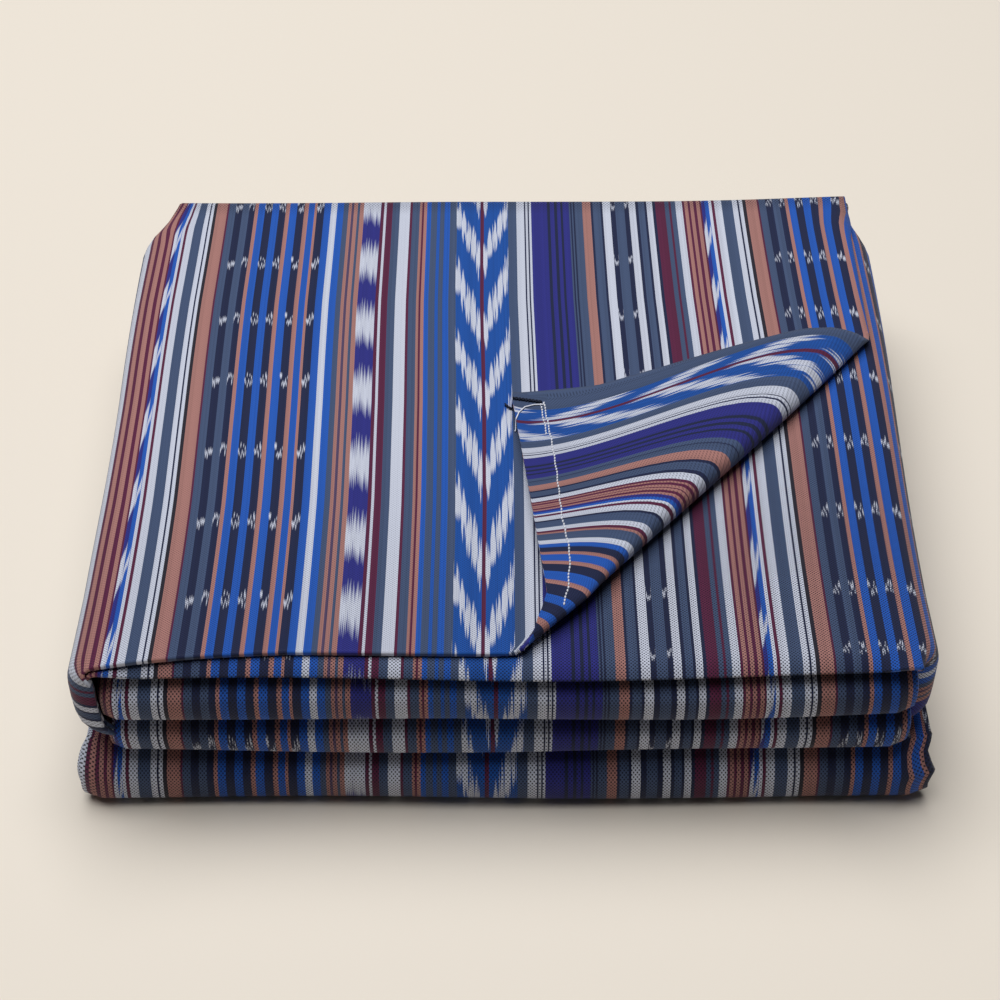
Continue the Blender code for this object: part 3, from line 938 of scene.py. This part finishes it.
def add(tree, kind, inputs=None, **settings):
    made = tree.nodes.new("ShaderNode" + kind)
    for name, value in settings.items():
        setattr(made, name, value)
    for key, value in (inputs or {}).items():
        if isinstance(key, str):
            socket = next(s for s in made.inputs if s.enabled and s.name == key)
        else:
            socket = [s for s in made.inputs if s.enabled][key]
        if isinstance(value, bpy.types.Node):
            value = first_output(value)
        if isinstance(value, bpy.types.NodeSocket):
            tree.links.new(value, socket)
        else:
            socket.default_value = value
    return made


def first_output(node):
    return next(s for s in node.outputs if s.enabled)


print("nodes are added by one function")

# %% [markdown]
# ## Stripes of dyed yarn
#
# The stripes are drawn by colour ramps without blending, since one yarn ends where the next begins. A ramp
# holds 32 colours at most, so the warping order is split over several. An image would be the other way, but
# it needs a large one to stay sharp, and a ramp is sharp at any distance.

# %% Stripes of dyed yarn
RAMP_STOPS = 30  # stripes on one ramp


def stripe_colours(tree, place_mm, stripes):
    """The yarn colour at a place in the warping order."""
    colour = None
    for first in range(0, len(stripes), RAMP_STOPS):
        part = stripes[first:first + RAMP_STOPS]
        start, end = part[0].start, part[-1].end
        within = add(tree, "MapRange", {"Value": place_mm, "From Min": start, "From Max": end})
        ramp = add(tree, "ValToRGB", {0: within})
        ramp.color_ramp.interpolation = "CONSTANT"
        elements = ramp.color_ramp.elements
        while len(elements) < len(part):
            elements.new(0.5)
        for element, stripe in zip(elements, part):
            element.position = (stripe.start - start) / (end - start)
            element.color = linear(YARNS[stripe.yarn])
        if colour is None:
            colour = ramp
        else:
            past = add(tree, "Math", {0: place_mm, 1: start}, operation="GREATER_THAN")
            colour = add(tree, "Mix", {"Factor": past, "A": colour, "B": ramp}, data_type="RGBA")
    return colour


def zone(tree, place_mm, start, end):
    """1 between two places in the warping order and 0 outside."""
    numbers = {0: place_mm, 1: (start + end) / 2, 2: (end - start) / 2}
    return add(tree, "Math", numbers, operation="COMPARE")


print("the right side's stripes take", math.ceil(len(face_stripes) / RAMP_STOPS), "colour ramps")

# %% [markdown]
# ## Tied and dyed yarns
#
# Ikat is dyed before weaving: bundles of yarn are tied off, and the tied parts stay white in the dye. In
# the loom the yarns slip a little against each other, so each white patch ends in a ragged, feathered edge.
# Here every yarn gets its own small slip from a noise that is the same all along it. The patches could be
# painted by hand, but then no two sizes of the cloth would share them.

# %% Tied and dyed yarns
IKAT_YARN_MM = 0.36
LENGTH_UNEVEN = 0.6  # how much the yarns' white lengths differ, as a share of the tie's length or slip
SLIP_SEED, LENGTH_SEED, DEPTH_SEED = 0.0, 97.0, 11.0

Tie = namedtuple("Tie", "count slip length feather")  # all in repeats
TIES = {
    "d": Tie("dash", 0.17, 0.05, 0.05),
    "c": Tie("tip", 0.17, 0.40, 0.09),
    "b": Tie("block", 0.17, 0.46, 0.20),
    "v": Tie("dash", 0.08, 0.50, 0.08),
    "w": Tie("dash", 0.08, 0.16, 0.08),
}


def yarn_noise(tree, across, width_mm, seed):
    """A number from -0.5 to 0.5 for each yarn."""
    yarn = add(tree, "Math", {0: across, 1: 1 / width_mm, 2: seed}, operation="MULTIPLY_ADD")
    yarn = add(tree, "Math", {0: yarn}, operation="FLOOR")
    noise = add(tree, "TexWhiteNoise", {"W": yarn}, noise_dimensions="1D")
    return add(tree, "Math", {0: noise, 1: 0.5}, operation="SUBTRACT")


def white_patch(tree, tie, slips, late, shape):
    """1 in the white patches: a patch lies round each whole number of the count."""
    count = add(tree, "Attribute", attribute_name=tie.count).outputs["Fac"]
    count = add(tree, "Math", {0: slips[0], 1: tie.slip, 2: count}, operation="MULTIPLY_ADD")
    if late is not None:
        count = add(tree, "Math", {0: count, 1: late}, operation="SUBTRACT")
    nearest = add(tree, "Math", {0: count}, operation="ROUND")
    gap = add(tree, "Math", {0: count, 1: nearest}, operation="SUBTRACT")
    gap = add(tree, "Math", {0: gap}, operation="ABSOLUTE")
    numbers = {0: slips[1], 1: min(tie.length, tie.slip) * LENGTH_UNEVEN, 2: tie.length / 2}
    reach = add(tree, "Math", numbers, operation="MULTIPLY_ADD")
    if shape is not None:
        reach = add(tree, "Math", {0: reach, 1: shape}, operation="MULTIPLY")
    over = add(tree, "Math", {0: reach, 1: gap}, operation="SUBTRACT")
    return add(tree, "MapRange", {"Value": over, "From Min": -tie.feather / 2, "From Max": tie.feather / 2})


print(len(TIES), "kinds of tied patch")

# %% [markdown]
# ## Chevrons
#
# A chevron is made on the loom: the yarns are tied in small bundles, and each bundle is pulled a step
# further along than its neighbour, away from a thin maroon line in the middle. Each bundle's white is
# longest in its middle, so the edges of the chevron are teeth. The steps could be drawn as one slanted line,
# but then the teeth would be lost.

# %% Chevrons
V_BUNDLES = 5  # bundles of yarn on each side of a chevron
V_FIRST = 0.15  # how much of a bundle the line in the middle covers
V_STEP = 0.185  # how far each bundle's white lies behind its neighbour's, in repeats
V_SPINDLE = 0.55  # how much shorter the white is at a bundle's sides than in its middle
THIN_LATE = 0.27  # the thin lines' white comes this much after the dashes
THIN_SLANT = 0.16


def chevron_bundles(tree, place_mm, first, last):
    """How late each bundle of a chevron comes, and how its white narrows to a spindle."""
    middle = (first.end + last.start) / 2
    width = max(first.end - first.start, last.end - last.start) / V_BUNDLES
    side = add(tree, "Math", {0: place_mm, 1: middle}, operation="SUBTRACT")
    side = add(tree, "Math", {0: side}, operation="ABSOLUTE")
    bundle = add(tree, "Math", {0: side, 1: 1 / width, 2: -V_FIRST}, operation="MULTIPLY_ADD")
    number = add(tree, "Math", {0: bundle}, operation="FLOOR")
    late = add(tree, "Math", {0: number, 1: V_STEP}, operation="MULTIPLY")
    within = add(tree, "Math", {0: bundle}, operation="FRACT")
    off = add(tree, "Math", {0: within, 1: 0.5}, operation="SUBTRACT")
    off = add(tree, "Math", {0: off}, operation="ABSOLUTE")
    spindle = add(tree, "Math", {0: off, 1: -2 * V_SPINDLE, 2: 1.0 + V_SPINDLE / 3}, operation="MULTIPLY_ADD")
    return late, spindle


def lateness(tree, place_mm, kind, held):
    """How late the white comes across a stripe, and what shortens it. None is not at all."""
    if kind == "c":
        return chevron_bundles(tree, place_mm, held[0], held[-1])
    if kind in ("v", "w"):
        from_side = add(tree, "Math", {0: place_mm, 1: held[0].start}, operation="SUBTRACT")
        return add(tree, "Math", {0: from_side, 1: THIN_SLANT, 2: THIN_LATE}, operation="MULTIPLY_ADD"), None
    return None, None


def ikat_white(tree, place_mm, across, stripes):
    """Where the tied yarns are white, over all the ikat stripes."""
    slips = [yarn_noise(tree, across, IKAT_YARN_MM, seed) for seed in (SLIP_SEED, LENGTH_SEED)]
    total = None
    for kind, tie in TIES.items():
        held = [stripe for stripe in stripes if stripe.ikat == kind]
        if not held:
            continue
        patch = white_patch(tree, tie, slips, *lateness(tree, place_mm, kind, held))
        here = None
        for stripe in held:
            inside = zone(tree, place_mm, stripe.start, stripe.end)
            here = inside if here is None else add(tree, "Math", {0: here, 1: inside}, operation="MAXIMUM")
        patch = add(tree, "Math", {0: patch, 1: here}, operation="MULTIPLY")
        total = patch if total is None else add(tree, "Math", {0: total, 1: patch}, operation="MAXIMUM")
    return total


print("a chevron has", 2 * V_BUNDLES, "bundles of yarn")

# %% [markdown]
# ## Woven cotton
#
# Yarn-dyed cotton in a plain weave, washed and unpressed: matt, with a faint fuzz that catches light at
# grazing angles. Each coloured warp yarn dips under every other dark weft yarn, which shows as a fine check
# of dark points where the weave opens. On the bands and at the front of the inner plies the points are
# darkened further, as painted shade.

# %% Woven cotton
WARP_MM = 0.70  # the real yarns lie about 0.3 mm apart; they are drawn as coarse as they need to show
WEFT_MM = 0.62
DIP = 0.96  # how dark the points of the weft are
DIP_FROM, DIP_FULL = 0.05, -0.65  # where a point starts and where it is at its darkest, on the check
GRAIN = {"Strength": 0.35, "Distance": 0.0002}
YARN_UNEVEN = 0.16  # how much yarns differ in depth of colour
WEFT_COLOUR = "#070a18"
COTTON = {
    "Roughness": 0.88,
    "IOR": 1.47,
    "Specular IOR Level": 0.3,
    "Sheen Weight": 0.12,
    "Sheen Roughness": 0.5,
}


def weave_check(tree, across, along):
    """From -1, on the weft, to 1, on the warp."""
    over = add(tree, "Math", {0: across, 1: math.pi / WARP_MM}, operation="MULTIPLY")
    over = add(tree, "Math", {0: over}, operation="SINE")
    under = add(tree, "Math", {0: along, 1: math.pi / WEFT_MM}, operation="MULTIPLY")
    under = add(tree, "Math", {0: under}, operation="SINE")
    return add(tree, "Math", {0: over, 1: under}, operation="MULTIPLY")


def woven_cotton(name, stripes, first_mm, direction):
    """Cotton in this warping order. A direction of -1 counts the stripes from right to left, once."""
    material = bpy.data.materials.new(name)
    material.use_nodes = True
    tree = material.node_tree
    shader = tree.nodes["Principled BSDF"]
    across = add(tree, "Attribute", attribute_name="across").outputs["Fac"]
    along = add(tree, "Attribute", attribute_name="along").outputs["Fac"]
    place_mm = add(
        tree, "Math", {0: across, 1: direction, 2: -direction * first_mm}, operation="MULTIPLY_ADD"
    )
    if direction > 0:
        repeat = stripes[-1].end
        turns = add(tree, "Math", {0: place_mm, 1: repeat}, operation="DIVIDE")
        part = add(tree, "Math", {0: turns}, operation="FRACT")
        place_mm = add(tree, "Math", {0: part, 1: repeat}, operation="MULTIPLY")
    colour = stripe_colours(tree, place_mm, stripes)
    white = ikat_white(tree, place_mm, across, stripes)
    mixing = {"Factor": white, "A": colour, "B": linear(YARNS["W"])}
    colour = add(tree, "Mix", mixing, data_type="RGBA")

    uneven = yarn_noise(tree, across, WARP_MM, DEPTH_SEED)
    depth = add(tree, "Math", {0: uneven, 1: YARN_UNEVEN, 2: 1.0}, operation="MULTIPLY_ADD")
    colour = add(tree, "HueSaturation", {"Color": colour, "Value": depth})
    check = weave_check(tree, across, along)
    dip = add(tree, "MapRange", {"Value": check, "From Min": DIP_FROM, "From Max": DIP_FULL})
    # the weft points deepen with the opened weave, and on the bands and inner plies' front with painted shade
    opened = add(tree, "Attribute", attribute_name="open").outputs["Fac"]
    dip = add(tree, "Math", {0: dip, 1: opened}, operation="MULTIPLY")
    dip = add(tree, "Math", {0: dip, 1: DIP}, operation="MULTIPLY")
    mixing = {"Factor": dip, "A": colour, "B": linear(WEFT_COLOUR)}
    colour = add(tree, "Mix", mixing, data_type="RGBA")
    bump = add(tree, "Bump", {"Height": check, **GRAIN})
    tree.links.new(first_output(colour), shader.inputs["Base Color"])
    tree.links.new(first_output(bump), shader.inputs["Normal"])
    for socket, value in COTTON.items():
        shader.inputs[socket].default_value = value
    print(name, "has", len(tree.nodes), "nodes")
    return material


right_side = woven_cotton("ikat_cotton_right_side", face_stripes, FIRST_STRIPE, 1)
wrong_side = woven_cotton("ikat_cotton_wrong_side", reverse_stripes, LEAF_SELVAGE, -1)
for material in (right_side, right_side, wrong_side):
    sheet_mesh.materials.append(material)

# %% [markdown]
# ## Hand stitches and loose threads
#
# The cut end has a narrow hem, held by running stitches in white thread. At the corner a thread end was
# knotted and left long. A stitch could be drawn on, but a real one stands up from the cloth and casts a
# little shadow, so each is a short bead of thread that dips into the cloth at both ends.

# %% Where the threads lie
STITCH_LINE = (
    (0.0152, -0.0050), (0.0177, -0.0270), (0.0194, -0.0448), (0.0211, -0.0733),
    (0.0231, -0.0870), (0.0237, -0.0951), (0.0226, -0.1110), (0.0208, -0.1185),
)
SECOND_LINE = ((0.0139, -0.0060), (0.0161, -0.0250))
LOOSE_END = ((0.0034, -0.0160), (0.0051, -0.0105), (0.0075, -0.0074), (0.0112, -0.0062), (0.0156, -0.0062))
DARK_TWIST = ((-0.0006, 0.0007), (0.0015, -0.0018), (0.0043, -0.0024), (0.0096, -0.0037), (0.0144, -0.0049))

corners = [vertex.co.copy() for vertex in sheet_mesh.vertices]
surface = BVHTree.FromPolygons(corners, [list(face.vertices) for face in sheet_mesh.polygons])


def on_cloth(x, y, above):
    """A point over the uppermost layer of cloth."""
    hit = surface.ray_cast(Vector((x, y, 0.2)), Vector((0.0, 0.0, -1.0)))[0]
    return Vector((x, y, hit.z + THICKNESS / 2 + above))


def even_points(line, pitch):
    """Points at an even pitch along a line of places."""
    line = np.array(line)
    run = np.concatenate([[0.0], np.cumsum(np.linalg.norm(np.diff(line, axis=0), axis=1))])
    wanted = np.arange(0.0, run[-1], pitch)
    return [(float(np.interp(w, run, line[:, 0])), float(np.interp(w, run, line[:, 1]))) for w in wanted]


print("the hem's stitches start", round(1000 * on_cloth(*STITCH_LINE[0], 0.0).z, 1), "mm over the floor")

# %% [markdown]
# ## One thread as a tube
#
# A thread is a thin tube along a line of points. A curve with a bevel would make the same, but a mesh is
# what the part is exported as, and a tube of six sides is fine enough for a thread.

# %% One thread as a tube
TUBE_SIDES = 6


def add_tube(made, points, radii):
    """A tube through the points, closed at both ends."""
    rings = []
    for number, (point, radius) in enumerate(zip(points, radii)):
        ahead = points[min(number + 1, len(points) - 1)] - points[max(number - 1, 0)]
        side = ahead.cross(Vector((0.0, 0.0, 1.0))).normalized()
        top = side.cross(ahead).normalized()
        turns = [2 * math.pi * step / TUBE_SIDES for step in range(TUBE_SIDES)]
        arms = [radius * (side * math.cos(turn) + top * math.sin(turn)) for turn in turns]
        rings.append([made.verts.new(point + arm) for arm in arms])
    for first, second in zip(rings, rings[1:]):
        for step in range(TUBE_SIDES):
            after = (step + 1) % TUBE_SIDES
            made.faces.new((first[step], first[after], second[after], second[step])).smooth = True
    made.faces.new(rings[0][::-1])
    made.faces.new(rings[-1])


print("each ring of a thread has", TUBE_SIDES, "points")

# %% [markdown]
# ## Stitches and strands
#
# No two stitches of a hand-sewn hem are the same, so each lies a little to one side of the line. The dark
# thread at the corner is two strands wound round each other.

# %% Stitches and strands
STITCH_PITCH = 0.00165
STITCH_LENGTH = 0.00125
STITCH_RADIUS = 0.00034
STITCH_HEIGHTS = (-0.00030, 0.00008, 0.00022, 0.00008, -0.00030)
STITCH_THICKNESS = (0.6, 1.0, 1.1, 1.0, 0.6)  # in radii, from end to end
STITCH_ASIDE = 0.00016
STITCH_TURN = 7.3  # radians from one stitch to the next, so that no two beside each other match
STITCH_SLANT = 0.1
THREAD_RADIUS = 0.00030
STRAND_HEIGHT = 0.00035
TWIST_HEIGHT = 0.00065
TWIST_RADIUS = 0.00038
TWIST_PITCH = 0.0028
TWIST_STEPS = 8


def stitches(made, line):
    for number, (x, y) in enumerate(even_points(line, STITCH_PITCH)):
        x += STITCH_ASIDE * math.sin(STITCH_TURN * number)
        ahead = spread(len(STITCH_HEIGHTS) - 1, -STITCH_LENGTH / 2, STITCH_LENGTH / 2)
        points = [on_cloth(x - STITCH_SLANT * a, y - a, up) for a, up in zip(ahead, STITCH_HEIGHTS)]
        add_tube(made, points, [STITCH_RADIUS * share for share in STITCH_THICKNESS])


def single_strand(made, line):
    points = [on_cloth(x, y, STRAND_HEIGHT) for x, y in even_points(line, TWIST_PITCH / TWIST_STEPS)]
    add_tube(made, points, [THREAD_RADIUS] * len(points))


def twisted_strand(made, line, start):
    """One of the strands that are wound round the line."""
    points = []
    for number, (x, y) in enumerate(even_points(line, TWIST_PITCH / TWIST_STEPS)):
        angle = 2 * math.pi * number / TWIST_STEPS + start
        up = TWIST_HEIGHT + TWIST_RADIUS * math.sin(angle)
        points.append(on_cloth(x, y + TWIST_RADIUS * math.cos(angle), up))
    add_tube(made, points, [THREAD_RADIUS] * len(points))


print(len(even_points(STITCH_LINE, STITCH_PITCH)), "stitches in the hem's long line")

# %% [markdown]
# ## The pieces of thread
#
# The white thread and the dark one are a piece each, with its own material: matt twisted cotton. Both ride
# on the cloth.

# %% The pieces of thread
THREAD_COTTON = {"Roughness": 0.8, "Specular IOR Level": 0.3}


def thread_piece(name, material_name, colour, build):
    made = bmesh.new()
    build(made)
    bmesh.ops.recalc_face_normals(made, faces=made.faces)
    mesh = bpy.data.meshes.new(name)
    made.to_mesh(mesh)
    made.free()
    piece = bpy.data.objects.new(name, mesh)
    bpy.context.scene.collection.objects.link(piece)
    material = bpy.data.materials.new(material_name)
    material.use_nodes = True
    shader = material.node_tree.nodes["Principled BSDF"]
    shader.inputs["Base Color"].default_value = linear(colour)
    for socket, value in THREAD_COTTON.items():
        shader.inputs[socket].default_value = value
    mesh.materials.append(material)
    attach(piece, "root")
    print(name, "has", len(mesh.polygons), "faces")
    return piece


def white_stitches(made):
    stitches(made, STITCH_LINE)
    stitches(made, SECOND_LINE)
    single_strand(made, LOOSE_END)


def dark_threads(made):
    twisted_strand(made, DARK_TWIST, 0.0)
    twisted_strand(made, DARK_TWIST, math.pi)


white_piece = thread_piece("hem_stitches", "white_twisted_cotton", "#dfe1ea", white_stitches)
dark_piece = thread_piece("corner_threads", "dark_twisted_cotton", "#1d2233", dark_threads)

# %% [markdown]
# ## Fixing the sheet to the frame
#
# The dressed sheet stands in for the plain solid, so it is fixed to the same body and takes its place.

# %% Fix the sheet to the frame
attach(sheet, "root")
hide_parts("cloth")
print("the sheet stands in for the plain solid")

# %% [markdown]
# ## The floor
#
# A plain pale floor shows the shadows that the folds cast. It lies a hair below the cloth, so that the two
# never share a surface.

# %% The floor
FLOOR_REACH = 4.0
FLOOR_BELOW = 0.0002

reach = (-FLOOR_REACH, FLOOR_REACH)
floor_mesh = bpy.data.meshes.new("floor")
floor_mesh.from_pydata([(x, y, 0) for x, y in zip(reach * 2, sorted(reach * 2))], [], [(0, 1, 3, 2)])
floor = bpy.data.objects.new("floor", floor_mesh)
floor.location.z = -FLOOR_BELOW
bpy.context.scene.collection.objects.link(floor)
floor_finish = bpy.data.materials.new("plain_pale_matt_board")
floor_finish.use_nodes = True
floor_shader = floor_finish.node_tree.nodes["Principled BSDF"]
floor_shader.inputs["Base Color"].default_value = linear("#e6ddd0")
floor_shader.inputs["Roughness"].default_value = 0.7
floor_mesh.materials.append(floor_finish)
print("the floor reaches", FLOOR_REACH, "m each way")

# %% [markdown]
# ## Light
#
# One large soft lamp hangs above and behind the cloth, and a faint even light fills in. The top of the stack
# is bright and the bands at the front lie in its shade. A small lamp would draw hard edges on the floor.

# %% Light
FILL_COLOUR = "#eef0f4"
FILL_STRENGTH = 0.045
LAMP_PLACE = (-0.38, 0.50, 2.8)
LAMP_SIZE = 2.7
LAMP_WATTS = 107.0
LIT_PLACE = (0.0, 0.0, 0.04)

world = bpy.context.scene.world or bpy.data.worlds.new("studio")
bpy.context.scene.world = world
world.use_nodes = True
background = next(n for n in world.node_tree.nodes if n.type == "BACKGROUND")
background.inputs["Color"].default_value = linear(FILL_COLOUR)
background.inputs["Strength"].default_value = FILL_STRENGTH
bpy.context.scene.view_settings.view_transform = "Standard"

light = bpy.data.lights.new("overhead", "AREA")
light.size = LAMP_SIZE
light.energy = LAMP_WATTS
lamp = bpy.data.objects.new("overhead", light)
lamp.location = LAMP_PLACE
lamp.rotation_euler = (Vector(LIT_PLACE) - Vector(LAMP_PLACE)).to_track_quat("-Z", "Y").to_euler()
bpy.context.scene.collection.objects.link(lamp)
print("one lamp,", LAMP_SIZE, "m wide")

# %% [markdown]
# ## Camera
#
# The camera looks down at the cloth from the front, from about a metre away, with a long lens. That keeps
# the stripes close to parallel, and shows the bands and the turned corner at once.

# %% Camera
SENSOR_MM = 36.0
LENS_MM = 79.2
CAMERA_PLACE = (-0.0026, -0.6846, 0.6586)
LOOKS_DOWN = 42.98  # degrees

camera_data = bpy.data.cameras.new("camera")
camera_data.sensor_width = SENSOR_MM
camera_data.lens = LENS_MM
camera = bpy.data.objects.new("camera", camera_data)
camera.location = CAMERA_PLACE
camera.rotation_euler = (math.radians(90 - LOOKS_DOWN), 0.0, 0.0)
bpy.context.scene.collection.objects.link(camera)
bpy.context.scene.camera = camera
print("the camera is", round(Vector(CAMERA_PLACE).length, 2), "m from the middle of the cloth")
